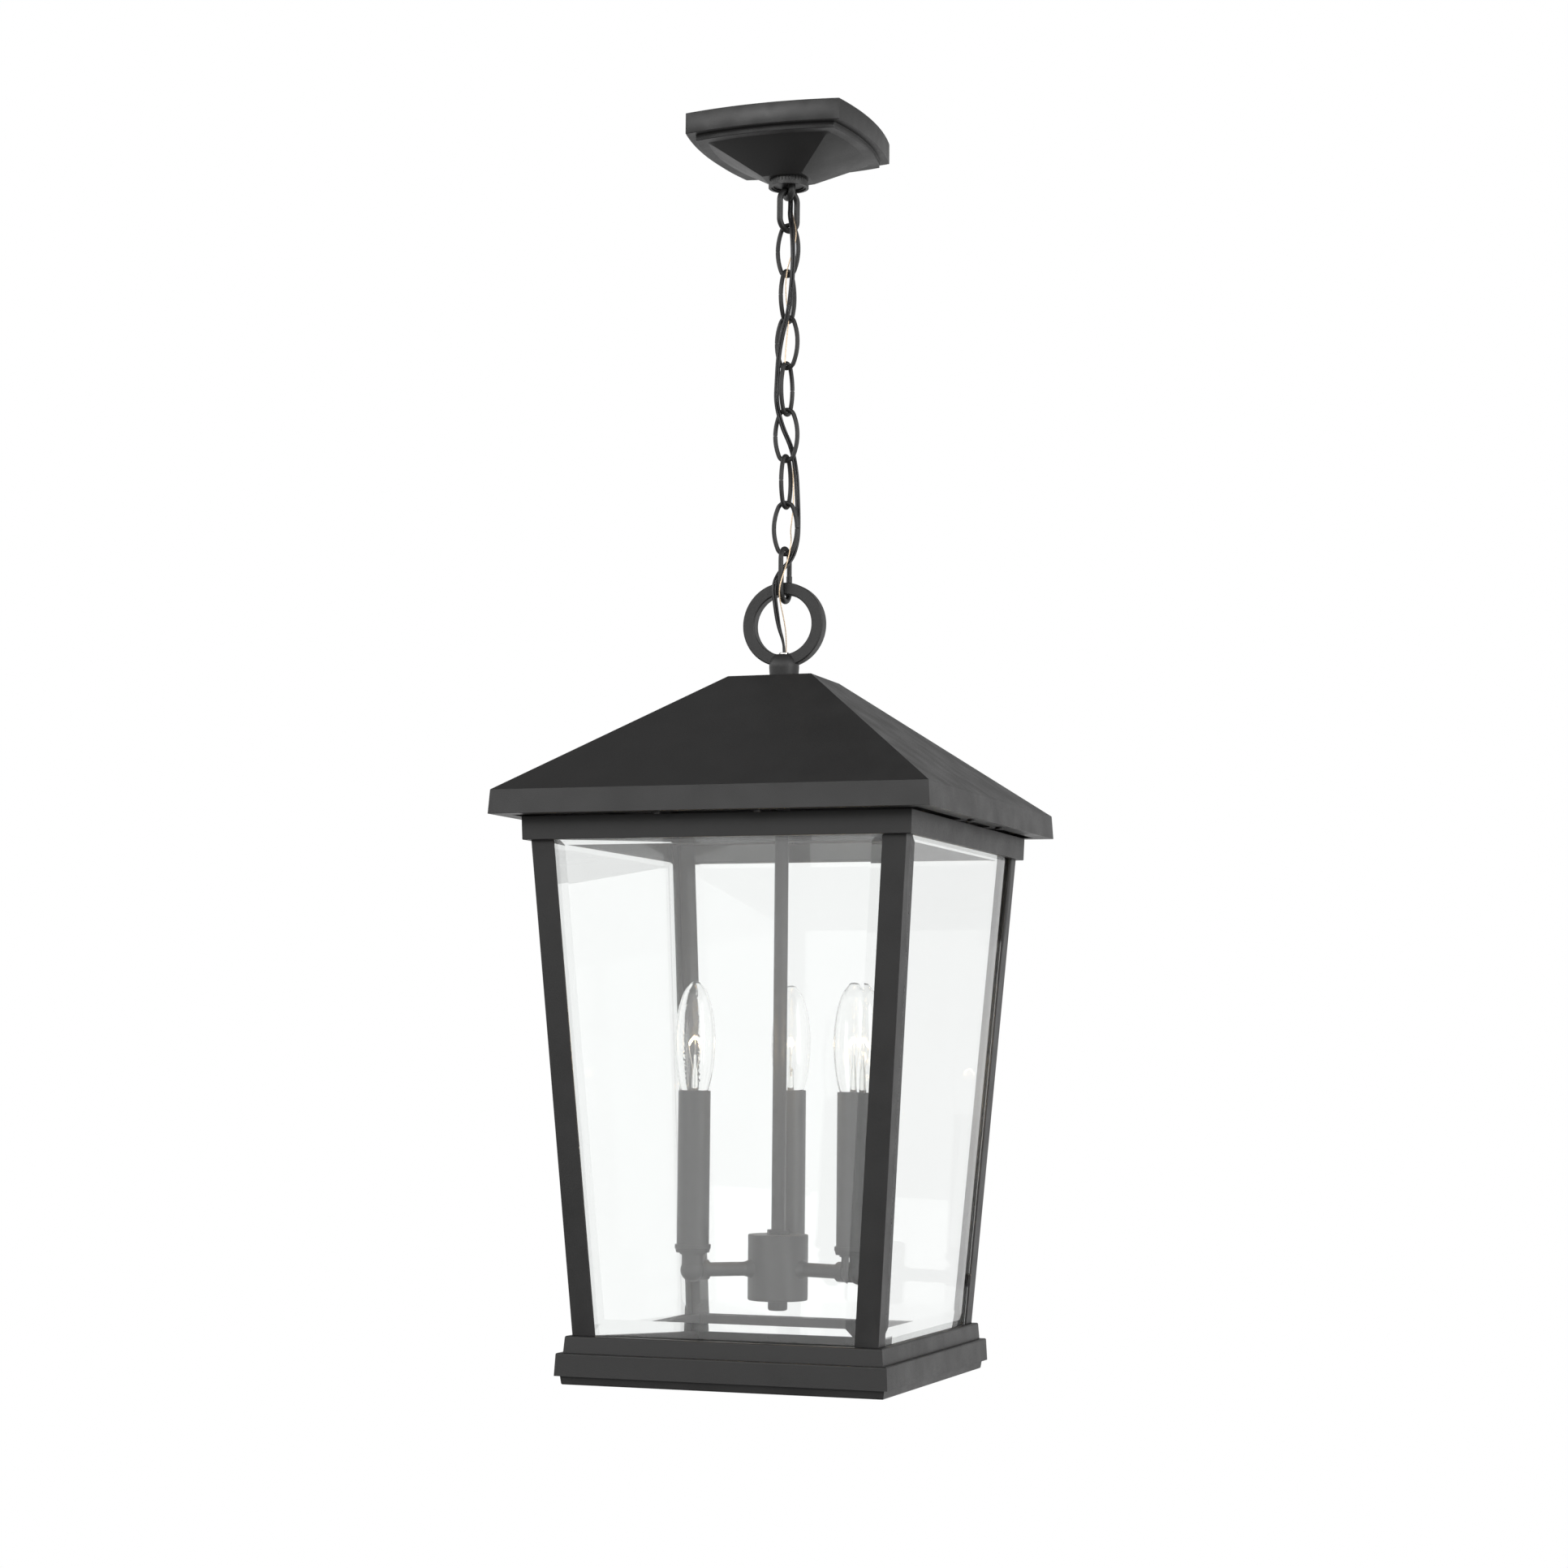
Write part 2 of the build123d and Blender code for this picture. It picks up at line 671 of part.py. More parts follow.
def corner_posts():
    """Four angle-section posts leaning in towards the base."""
    top = z_frame - sheet
    far = 4 * frame_half
    shell = leaning_block(0, 0, top, z_base) - leaning_block(sheet, sheet, top, z_base)
    for is_x_gap in (True, False):
        faces = []
        for z in (top, z_base):
            open_x = 2 * (post_half(z) - post_face_x)
            open_y = 2 * (post_half(z) - post_face_y)
            size = (open_x, far) if is_x_gap else (far, open_y)
            faces.append(Pos(0, 0, z) * Rectangle(*size))
        shell -= loft(faces, ruled=True)
    named = {}
    for post in shell.solids():
        centre = post.center()
        depth = "front" if centre.Y < 0 else "back"
        side = "left" if centre.X < 0 else "right"
        named[f"post_{depth}_{side}"] = post
    return named


def glass_pane():
    """The front pane: a trapezoid that leans with the posts, bevelled on its outer face."""
    z_top = z_frame - sheet - glass_air
    z_foot = z_base - glass_sunk
    offset = sheet + glass_air
    slant = sqrt(1 + lean_rate**2)

    def outline(inset, depth):
        """The pane's outline at a depth behind the outer face, inset all round."""
        points = []
        for side, z in ((-1, z_top), (1, z_top), (1, z_foot), (-1, z_foot)):
            z_in = z - inset if z == z_top else z + inset
            half = post_half(z_in) - glass_side_air - inset
            y_face = -(post_half(z_in) - offset)
            points.append((side * half, y_face + depth, z_in))
        return make_face(Polyline(*points, close=True))

    bevel_depth = (glass_thick - glass_edge) * slant
    back_depth = glass_thick * slant
    raised = loft([outline(glass_bevel, 0), outline(0, bevel_depth)], ruled=True)
    plate = loft([outline(0, bevel_depth), outline(0, back_depth)], ruled=True)
    return raised + plate


def glass_panes():
    names = ("glass_front", "glass_right", "glass_back", "glass_left")
    pane = glass_pane()
    return {name: Rot(0, 0, 90 * i) * pane for i, name in enumerate(names)}


def base_frame():
    """Cast base ring with a channel for the glass, solid under the posts."""
    body = frustum((base_half, z_base), (base_half + base_draft, z_trim))
    body = fillet(body.edges().filter_by(Axis.Z, reverse=True).group_by(Axis.Z)[-1], edge_round)
    body -= frustum((base_opening_half, z_base), (base_opening_half, z_trim))
    channel_outer = post_foot_half - sheet - 0.1
    channel_floor = z_base - glass_sunk - glass_air
    body -= square_ring(channel_outer, channel_inner, channel_floor, z_base)
    body -= square_ring(base_half - sheet, channel_inner + 2.0, z_trim, channel_floor - sheet)
    for hole in base_screw_places(cylinder(screw_r + fit, channel_floor - sheet, channel_floor)):
        body -= hole
    return body


def base_screw_places(shape):
    """Copies of an upright piece at two places on each side of the base."""
    across = (post_foot_half + channel_inner) / 2 + 1.0
    copies = []
    for x in (-0.6 * across, 0.6 * across):
        copies += on_four_sides(Pos(x, -across, 0) * shape)
    return copies


def base_trim():
    """Moulding under the base: a proud band and a narrower lip, hollow underneath."""
    band = frustum((trim_half, z_trim), (trim_half + trim_draft, z_lip))
    band = fillet(band.edges().filter_by(Axis.Z, reverse=True).group_by(Axis.Z)[-1], edge_round)
    lip = frustum((lip_half, z_lip), (lip_half - lip_draft, z_bottom))
    lip = fillet(lip.edges().group_by(Axis.Z)[0], edge_round)
    body = band + lip
    body -= frustum((trim_opening_half, z_trim), (trim_opening_half, z_bottom))
    under = z_trim - 2 * sheet
    body -= square_ring(trim_half - 2 * sheet, trim_opening_half + sheet, z_lip + sheet, under)
    body -= square_ring(lip_half - lip_draft - sheet, trim_opening_half + sheet, z_bottom, z_lip + 2 * sheet)
    for hole in base_screw_places(cylinder(screw_r + fit, under, z_trim)):
        body -= hole
    return body


def base_screws():
    """Screws up through the trim into the base."""
    under = z_trim - 2 * sheet
    floor_under = z_base - glass_sunk - glass_air
    head = cylinder(screw_head_r, under - screw_head, under)
    shank = cylinder(screw_r, under, floor_under)
    return flat(base_screw_places(head + shank))


def glass_clips():
    """Bent straps in the base channel that press each pane outwards."""
    floor = z_base - glass_sunk - glass_air
    slant = sqrt(1 + lean_rate**2)
    face_y = -(post_half(floor) - sheet - glass_air - glass_thick * slant) + 0.15

    def clip(x, height):
        left, right = x - glass_clip_width / 2, x + glass_clip_width / 2
        leg = block(left, right, face_y, face_y + 1.2, floor, floor + height)
        return leg + block(left, right, face_y, -channel_inner - 0.1, floor, floor + 1.2)

    sides = on_four_sides(clip(glass_clip_offset, glass_clip_height))
    others = on_four_sides(clip(-glass_clip_offset, glass_clip_height))
    others[1] = Rot(0, 0, 90) * clip(-glass_clip_offset, tall_clip_height)
    return flat(sides + others)


# ---- candle cluster ----
def center_stem():
    foot = z_seam_upper + 3.0
    return cylinder(stem_r, foot, z_stem_top) - cylinder(stem_bore_r, foot, z_stem_top)


def cluster_top_cap():
    cap = cylinder(cluster_r, z_seam_upper, z_cluster)
    cap = fillet(cap.edges().group_by(Axis.Z)[-1], 0.8)
    cap -= cylinder(cluster_r - cluster_wall, z_seam_upper, z_cluster - 2.0)
    return cap - cylinder(stem_r + fit, z_cluster - 2.0, z_cluster)


def cluster_body():
    tube = cylinder(cluster_r, z_seam_lower, z_seam_upper)
    tube -= cylinder(cluster_r - cluster_wall, z_seam_lower, z_seam_upper)
    hole = Pos(0, 0, z_arm) * Rot(0, 90, 0) * Cylinder(
        arm_r + fit, 2 * cluster_r, align=(Align.CENTER, Align.CENTER, Align.MIN)
    )
    for one in at_candles(hole):
        tube -= one
    return tube


def cluster_bottom_cap():
    cap = cylinder(cluster_r, z_cluster_bottom, z_seam_lower)
    cap = fillet(cap.edges().group_by(Axis.Z)[0], 1.4)
    cap -= cylinder(cluster_r - cluster_wall, z_cluster_bottom + 2.0, z_seam_lower)
    return cap - cylinder(finial_shank_r + fit, z_cluster_bottom, z_cluster_bottom + 2.0)


def finial():
    knob = cylinder(finial_r, z_cluster_bottom - finial_height, z_cluster_bottom)
    knob = fillet(knob.edges().group_by(Axis.Z)[0], 1.8)
    return knob + cylinder(finial_shank_r, z_cluster_bottom, z_cluster_bottom + 6.0)


def level_rod(r, x_low, x_high, z):
    """A level cylinder along +X between two radii."""
    return Pos(x_low, 0, z) * Rot(0, 90, 0) * Cylinder(
        r, x_high - x_low, align=(Align.CENTER, Align.CENTER, Align.MIN)
    )


def candle_arm():
    """Tube from the cluster with a flared foot, a round knuckle and a short upright neck."""
    reach = candle_circle_r
    neck_top = z_cup - cup_height - 1.4
    boss = Pos(cluster_r - 1.5, 0, z_arm) * Rot(0, 90, 0) * Cone(
        arm_boss_r, arm_r, 6.0, align=(Align.CENTER, Align.CENTER, Align.MIN)
    )
    boss -= cylinder(cluster_r + fit, z_arm - 2 * arm_boss_r, z_arm + 2 * arm_boss_r)
    collar = level_rod(arm_boss_r, reach - knuckle_r - 3.0, reach - knuckle_r + 3.0, z_arm)
    knuckle = Pos(reach, 0, z_arm) * Sphere(knuckle_r)
    neck = cylinder(knuckle_r - 0.8, z_arm, neck_top, x=reach)
    tube = level_rod(arm_r, cluster_r - cluster_wall - 2.0, reach, z_arm)
    arm = tube + boss + collar + knuckle + neck
    arm -= level_rod(arm_bore_r, cluster_r - cluster_wall - 2.0, reach, z_arm)
    return arm - cylinder(socket_stud_r + fit, z_arm, neck_top, x=reach)


def candle_cup():
    """Shallow turned cup that seats the sleeve."""
    bottom = z_cup - cup_height
    outline = [
        (socket_stud_r + fit, bottom - 1.4), (knuckle_r + 0.6, bottom - 1.4), (knuckle_r + 0.6, bottom),
        (cup_r - 1.0, bottom), (cup_r - 0.4, z_cup - 3.2), (cup_r, z_cup - 3.0), (cup_r, z_cup),
        (sleeve_r + 0.1, z_cup), (sleeve_r + 0.1, z_sleeve_foot), (socket_stud_r + fit, z_sleeve_foot),
    ]
    return Pos(candle_circle_r, 0, 0) * turned(outline)


def candle_sleeve():
    tube = cylinder(sleeve_r, z_sleeve_foot, z_sleeve_top, x=candle_circle_r)
    return tube - cylinder(sleeve_bore_r, z_sleeve_foot, z_sleeve_top, x=candle_circle_r)


def socket():
    """Candle socket on a threaded stud that runs down through the cup into the arm."""
    foot = z_socket - socket_height
    body = cylinder(socket_r, foot, z_socket, x=candle_circle_r)
    body = fillet(body.edges().group_by(Axis.Z)[0], 1.5)
    body -= cylinder(socket_bore_r, z_socket - base_shell_length - 1.5, z_socket, x=candle_circle_r)
    return body + cylinder(socket_stud_r, z_arm + 6.0, foot, x=candle_circle_r)


def bulb_outline(shrink, z_low):
    """Half outline of the candle bulb, two half ellipses, shrunk inwards for the hollow."""
    z_belly = z_bulb + bulb_belly
    above = bulb_length - bulb_belly - shrink
    below = bulb_tail - shrink
    foot = -asin((z_belly - z_low) / below)
    turns = [foot, 0.75 * foot, 0.5 * foot, 0.25 * foot] + [pi / 2 * i / 6 for i in range(7)]
    points = []
    for turn in turns:
        height = above if turn > 0 else below
        points.append(((bulb_r - shrink) * cos(turn), 0, z_belly + height * sin(turn)))
    points[-1] = (0, 0, z_belly + above)
    rise = (-(bulb_r - shrink) * sin(foot), 0, below * cos(foot))
    side = Spline(points, tangents=[rise, (-1, 0, 0)])
    axis = Line(points[-1], (0, 0, z_low))
    mouth = Line((0, 0, z_low), points[0])
    return make_face(Wire([side, axis, mouth]))


def bulb_glass():
    outer = revolve(bulb_outline(0, z_bulb), Axis.Z)
    hollow = revolve(bulb_outline(bulb_wall, z_bulb + 1.0), Axis.Z)
    return Pos(candle_circle_r, 0, 0) * (outer - hollow)


def bulb_base():
    """Threaded shell and centre contact of the bulb."""
    foot = z_bulb - base_shell_length + 2.0
    shell = cylinder(base_shell_r, foot, z_bulb - 0.05, x=candle_circle_r)
    for i in range(4):
        groove = Pos(candle_circle_r, 0, foot + 3.0 + i * 3.6) * Torus(base_shell_r + 0.35, 0.8)
        shell -= groove
    return shell + cylinder(2.6, foot - 1.6, foot, x=candle_circle_r)


def filament():
    """Glass mount, two support wires and the bowed filament."""
    foot = z_bulb + 1.1
    mount = cylinder(1.7, foot, z_bulb + 24.0)
    z_wire = z_bulb + 40.0
    supports = []
    for side in (-1, 1):
        start = Vector(side * 0.8, 0, z_bulb + 23.0)
        end = Vector(side * 5.0, 0, z_wire)
        run = end - start
        supports.append(extrude(Plane(start, z_dir=run) * Circle(0.3), run.length))
    arc = ThreePointArc((-5.0, 0, z_wire), (0, 0, z_wire + 5.5), (5.0, 0, z_wire))
    coil = sweep(Plane((-5.0, 0, z_wire), z_dir=arc.tangent_at(0)) * Circle(0.45), arc)
    return Pos(candle_circle_r, 0, 0) * (mount + supports[0] + supports[1] + coil)


# ---- every node ----
write("canopy_shell", canopy_shell())
write("crossbar", crossbar())
write("threaded_nipple", threaded_nipple())
write("nipple_locknut", nipple_locknut())
write("ground_screw", ground_screw())
write("wire_nuts", wire_nuts())
write("canopy_loop", canopy_loop())
write("collar_ring", collar_ring())

whole_cord = cord_tube(cord_route, cord_d)
write("cord_canopy", cord_canopy(whole_cord))
pivots = [z_eye] + [bottom for top, bottom in links]
for number in range(1, len(links) + 1):
    write(f"chain_link_{number}", chain_link(number - 1))
    write(f"cord_link_{number}", cord_stretch(whole_cord, pivots[number - 1], pivots[number]))
write("cord_lantern", cord_lantern(whole_cord))

write("hanging_ring", hanging_ring())
write("wire_bushing", wire_bushing())
write("roof_shell", roof_shell())
write("roof_clips", roof_clips())
write("roof_screws", roof_screws())
write("stem_locknuts", stem_locknuts())
write("upper_frame", upper_frame())
for name, post in corner_posts().items():
    write(name, post)
for name, pane in glass_panes().items():
    write(name, pane)
write("base_frame", base_frame())
write("base_trim", base_trim())
write("base_screws", base_screws())
write("glass_clips", glass_clips())

write("center_stem", center_stem())
write("cluster_top_cap", cluster_top_cap())
write("cluster_body", cluster_body())
write("cluster_bottom_cap", cluster_bottom_cap())
write("finial", finial())
write("candle_arms", flat(at_candles(candle_arm())))
write("candle_cups", flat(at_candles(candle_cup())))
write("candle_sleeves", flat(at_candles(candle_sleeve())))
write("sockets", flat(at_candles(socket())))
write("bulb_glass", flat(at_candles(bulb_glass())))
write("bulb_bases", flat(at_candles(bulb_base())))
write("filaments", flat(at_candles(filament())))

print("pivots", [round(p, 2) for p in pivots])
print("ring centre", round(z_ring, 2), "roof", round(z_roof, 2), "frame", round(z_frame, 2))
print("base", round(z_base, 2), "bottom", round(z_bottom, 2), "cluster", round(z_cluster, 2))
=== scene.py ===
import json
from math import cos, pi, radians, sin

import bmesh
import bpy
from mathutils import Matrix, Vector


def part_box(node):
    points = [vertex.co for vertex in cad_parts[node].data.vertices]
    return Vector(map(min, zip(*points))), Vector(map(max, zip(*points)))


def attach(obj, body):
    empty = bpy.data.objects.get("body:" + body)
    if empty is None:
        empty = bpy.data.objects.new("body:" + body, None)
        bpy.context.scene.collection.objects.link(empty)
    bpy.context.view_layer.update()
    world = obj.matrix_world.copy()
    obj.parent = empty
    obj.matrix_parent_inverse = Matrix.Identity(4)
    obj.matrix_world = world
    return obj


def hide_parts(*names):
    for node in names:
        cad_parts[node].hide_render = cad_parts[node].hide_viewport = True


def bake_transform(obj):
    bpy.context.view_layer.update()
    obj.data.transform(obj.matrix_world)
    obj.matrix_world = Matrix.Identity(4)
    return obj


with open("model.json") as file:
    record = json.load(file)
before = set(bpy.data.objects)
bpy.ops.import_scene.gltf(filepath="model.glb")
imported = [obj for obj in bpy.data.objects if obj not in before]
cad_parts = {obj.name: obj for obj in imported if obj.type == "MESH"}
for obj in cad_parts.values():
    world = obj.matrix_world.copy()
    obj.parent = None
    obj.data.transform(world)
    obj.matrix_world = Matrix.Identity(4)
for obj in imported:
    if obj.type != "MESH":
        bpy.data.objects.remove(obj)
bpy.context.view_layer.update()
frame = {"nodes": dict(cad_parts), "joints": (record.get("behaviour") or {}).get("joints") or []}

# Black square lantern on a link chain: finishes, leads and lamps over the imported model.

nodes = frame["nodes"]
mm = 0.001


# ---- camera ----
view_turn = radians(19.728)     # how far round from the front the camera stands
view_tip = radians(5.1485)      # how far it looks up
view_roll = radians(0.5327)
camera_place = (0.77276, -2.15288, -0.70760)


def make_camera():
    """A long lens a little below the roof, to the right of the front, tipped up slightly."""
    azimuth, pitch, roll = view_turn, view_tip, view_roll
    forward = Vector((-sin(azimuth) * cos(pitch), cos(azimuth) * cos(pitch), sin(pitch)))
    level = Vector((cos(azimuth), sin(azimuth), 0))
    over = level.cross(forward)
    right = level * cos(roll) + over * sin(roll)
    up = over * cos(roll) - level * sin(roll)
    data = bpy.data.cameras.new("camera")
    data.lens = 70.52
    data.sensor_width = 36
    camera = bpy.data.objects.new("camera", data)
    turn = Matrix((right, up, -forward)).transposed().to_4x4()
    camera.matrix_world = Matrix.Translation(camera_place) @ turn
    bpy.context.collection.objects.link(camera)
    bpy.context.scene.camera = camera


make_camera()


# ---- node trees ----
def new_material(name):
    """A new material, its node tree and its Principled shader."""
    material = bpy.data.materials.new(name)
    material.use_nodes = True
    tree = material.node_tree
    return material, tree, tree.nodes["Principled BSDF"]


def new_group(name, inputs, outputs):
    """An empty node group with named sockets. Each input is (name, kind, default)."""
    group = bpy.data.node_groups.new(name, "ShaderNodeTree")
    for socket, kind, default in inputs:
        made = group.interface.new_socket(socket, in_out="INPUT", socket_type="NodeSocket" + kind)
        made.default_value = default
    for socket, kind in outputs:
        group.interface.new_socket(socket, in_out="OUTPUT", socket_type="NodeSocket" + kind)
    return group, group.nodes.new("NodeGroupInput"), group.nodes.new("NodeGroupOutput")


def math_node(tree, operation, first, second):
    """A Math node. Each operand is a number or a socket."""
    node = tree.nodes.new("ShaderNodeMath")
    node.operation = operation
    for socket, value in zip(node.inputs, (first, second)):
        if isinstance(value, (int, float)):
            socket.default_value = value
        else:
            tree.links.new(value, socket)
    return node.outputs[0]


def noise_node(tree, coordinates, scale, detail):
    """A noise over the surface. Scale is in waves per metre, a number or a socket."""
    node = tree.nodes.new("ShaderNodeTexNoise")
    node.inputs["Detail"].default_value = detail
    tree.links.new(coordinates, node.inputs["Vector"])
    if isinstance(scale, (int, float)):
        node.inputs["Scale"].default_value = scale
    else:
        tree.links.new(scale, node.inputs["Scale"])
    return node.outputs["Fac"]


def brighter(tree, colour, amount):
    """A colour socket with its value multiplied by a socket."""
    node = tree.nodes.new("ShaderNodeHueSaturation")
    tree.links.new(colour, node.inputs["Color"])
    tree.links.new(amount, node.inputs["Value"])
    return node.outputs["Color"]


def make_grain_group():
    """Fine grain with slow mottling: a colour, a roughness and a height."""
    group, given, result = new_group(
        "surface_grain",
        [
            ("Colour", "Color", (0.5, 0.5, 0.5, 1)),
            ("Roughness", "Float", 0.5),
            ("Grain per metre", "Float", 1500.0),
            ("Mottle per metre", "Float", 60.0),
            ("Colour spread", "Float", 0.2),
            ("Roughness spread", "Float", 0.1),
        ],
        [("Colour", "Color"), ("Roughness", "Float"), ("Height", "Float")],
    )
    place = group.nodes.new("ShaderNodeTexCoord").outputs["Object"]
    grain = noise_node(group, place, given.outputs["Grain per metre"], 2.0)
    mottle = noise_node(group, place, given.outputs["Mottle per metre"], 3.0)
    both = math_node(group, "ADD", grain, mottle)
    centred = math_node(group, "SUBTRACT", both, 1.0)
    tint = math_node(group, "MULTIPLY", centred, given.outputs["Colour spread"])
    value = math_node(group, "ADD", tint, 1.0)
    group.links.new(brighter(group, given.outputs["Colour"], value), result.inputs["Colour"])
    change = math_node(group, "MULTIPLY", centred, given.outputs["Roughness spread"])
    rough = math_node(group, "ADD", change, given.outputs["Roughness"])
    group.links.new(rough, result.inputs["Roughness"])
    group.links.new(grain, result.inputs["Height"])
    return group


def make_streak_group():
    """Fine lines drawn along Z, as on drawn or turned metal: a height."""
    group, given, result = new_group(
        "drawn_lines",
        [("Lines per metre", "Float", 2500.0), ("Stretch", "Float", 0.03)],
        [("Height", "Float")],
    )
    place = group.nodes.new("ShaderNodeTexCoord").outputs["Object"]
    scale = group.nodes.new("ShaderNodeCombineXYZ")
    scale.inputs["X"].default_value = 1
    scale.inputs["Y"].default_value = 1
    group.links.new(given.outputs["Stretch"], scale.inputs["Z"])
    squeezed = group.nodes.new("ShaderNodeVectorMath")
    squeezed.operation = "MULTIPLY"
    group.links.new(place, squeezed.inputs[0])
    group.links.new(scale.outputs[0], squeezed.inputs[1])
    lines = noise_node(group, squeezed.outputs[0], given.outputs["Lines per metre"], 3.0)
    group.links.new(lines, result.inputs["Height"])
    return group


surface_grain = make_grain_group()
drawn_lines = make_streak_group()


def grained(name, colour, roughness, grain=1500, mottle=60, spread=0.2, rough_spread=0.1,
            bump=0.3, depth=0.1, **plain):
    """A solid finish with grain. Plain settings go straight onto the shader."""
    material, tree, shader = new_material(name)
    group = tree.nodes.new("ShaderNodeGroup")
    group.node_tree = surface_grain
    group.inputs["Colour"].default_value = (*colour, 1)
    group.inputs["Roughness"].default_value = roughness
    group.inputs["Grain per metre"].default_value = grain
    group.inputs["Mottle per metre"].default_value = mottle
    group.inputs["Colour spread"].default_value = spread
    group.inputs["Roughness spread"].default_value = rough_spread
    tree.links.new(group.outputs["Colour"], shader.inputs["Base Color"])
    tree.links.new(group.outputs["Roughness"], shader.inputs["Roughness"])
    relief = tree.nodes.new("ShaderNodeBump")
    relief.inputs["Strength"].default_value = bump
    relief.inputs["Distance"].default_value = depth * mm
    tree.links.new(group.outputs["Height"], relief.inputs["Height"])
    tree.links.new(relief.outputs["Normal"], shader.inputs["Normal"])
    for socket, value in plain.items():
        shader.inputs[socket.replace("_", " ")].default_value = value
    return material


def drawn_metal(name, colour, roughness, lines=2500, **plain):
    """A bare metal with fine drawn lines in its relief."""
    material = grained(name, colour, roughness, grain=900, spread=0.12, bump=0.1, depth=0.03,
                       Metallic=1.0, **plain)
    tree = material.node_tree
    shader = tree.nodes["Principled BSDF"]
    group = tree.nodes.new("ShaderNodeGroup")
    group.node_tree = drawn_lines
    group.inputs["Lines per metre"].default_value = lines
    relief = tree.nodes.new("ShaderNodeBump")
    relief.inputs["Strength"].default_value = 0.15
    relief.inputs["Distance"].default_value = 0.03 * mm
    tree.links.new(group.outputs["Height"], relief.inputs["Height"])
    before = shader.inputs["Normal"].links[0].from_socket
    tree.links.new(before, relief.inputs["Normal"])
    tree.links.new(relief.outputs["Normal"], shader.inputs["Normal"])
    return material


def clear_glass(name, tint, ior, wave_depth):
    """Clear glass with the faint waviness of the sheet. Lamp rays pass straight through."""
    material, tree, shader = new_material(name)
    place = tree.nodes.new("ShaderNodeTexCoord").outputs["Object"]
    shader.inputs["Transmission Weight"].default_value = 1.0
    shader.inputs["Metallic"].default_value = 0.0
    shader.inputs["Roughness"].default_value = 0.0
    shader.inputs["IOR"].default_value = ior
    wave = noise_node(tree, place, 14.0, 1.0)
    film = tree.nodes.new("ShaderNodeMix")
    film.data_type = "RGBA"
    tree.links.new(wave, film.inputs["Factor"])
    film.inputs["A"].default_value = (*tint, 1)
    film.inputs["B"].default_value = (*[min(1.0, part + 0.02) for part in tint], 1)
    tree.links.new(film.outputs["Result"], shader.inputs["Base Color"])
    relief = tree.nodes.new("ShaderNodeBump")
    relief.inputs["Strength"].default_value = 0.2
    relief.inputs["Distance"].default_value = wave_depth * mm
    tree.links.new(wave, relief.inputs["Height"])
    tree.links.new(relief.outputs["Normal"], shader.inputs["Normal"])
    path = tree.nodes.new("ShaderNodeLightPath")
    open_way = tree.nodes.new("ShaderNodeBsdfTransparent")
    mix = tree.nodes.new("ShaderNodeMixShader")
    tree.links.new(path.outputs["Is Shadow Ray"], mix.inputs[0])
    tree.links.new(shader.outputs[0], mix.inputs[1])
    tree.links.new(open_way.outputs[0], mix.inputs[2])
    tree.links.new(mix.outputs[0], tree.nodes["Material Output"].inputs["Surface"])
    return material


def glowing(name, colour, strength):
    """A hot wire: dull metal that gives off light, brighter along parts of its length."""
    material = grained(name, (0.35, 0.30, 0.25), 0.5, grain=2500, bump=0.4)
    tree = material.node_tree
    shader = tree.nodes["Principled BSDF"]
    place = tree.nodes.new("ShaderNodeTexCoord").outputs["Object"]
    glow = tree.nodes.new("ShaderNodeMix")
    glow.data_type = "RGBA"
    tree.links.new(noise_node(tree, place, 300.0, 1.0), glow.inputs["Factor"])
    glow.inputs["A"].default_value = (*colour, 1)
    glow.inputs["B"].default_value = (1.0, 0.86, 0.62, 1)
    tree.links.new(glow.outputs["Result"], shader.inputs["Emission Color"])
    shader.inputs["Emission Strength"].default_value = strength
    return material


black_coat = grained("black_powder_coat", (0.0165, 0.0162, 0.0160), 0.47, grain=1300, mottle=45,
                     spread=0.5, rough_spread=0.25, bump=0.45, depth=0.12)
sleeve_coat = grained("sleeve_satin_black", (0.020, 0.020, 0.020), 0.42, grain=900, mottle=30,
                      spread=0.3, bump=0.15, depth=0.05)
insulation = grained("black_wire_insulation", (0.014, 0.014, 0.015), 0.38, grain=700, mottle=120,
                     spread=0.3, bump=0.2, depth=0.05)
zinc = drawn_metal("zinc_plate", (0.60, 0.60, 0.58), 0.38)
nickel = drawn_metal("bright_nickel", (0.72, 0.71, 0.69), 0.16)
lamp_shell = drawn_metal("lamp_shell_brass", (0.80, 0.66, 0.38), 0.24)
support_wire = drawn_metal("lamp_support_wire", (0.70, 0.68, 0.64), 0.28)
bare_copper = grained("tinned_copper_strand", (0.86, 0.66, 0.45), 0.30, grain=2600, mottle=500,
                      spread=0.5, bump=0.8, depth=0.25, Metallic=0.75)
green_screw = grained("green_dyed_screw", (0.03, 0.22, 0.08), 0.35, Metallic=0.6)
splice_plastic = grained("orange_splice_cap", (0.72, 0.24, 0.05), 0.45, grain=600, spread=0.15)
lamp_holder = grained("cream_lamp_holder", (0.62, 0.57, 0.47), 0.55, grain=500, spread=0.12)
pane_glass = clear_glass("bevelled_pane_glass", (0.930, 0.940, 0.935), 1.52, 0.02)
lamp_glass = clear_glass("blown_lamp_glass", (0.995, 0.995, 0.990), 1.47, 0.05)
stem_glass = clear_glass("pressed_lamp_stem_glass", (0.97, 0.97, 0.95), 1.50, 0.3)
hot_wire = glowing("hot_filament", (1.0, 0.62, 0.25), 420.0)


# ---- finishes for the model's own pieces ----
def finish_node(name, material):
    """Give one carried-over node its finish."""
    slots = nodes[name].material_slots
    for slot in slots:
        slot.material = material


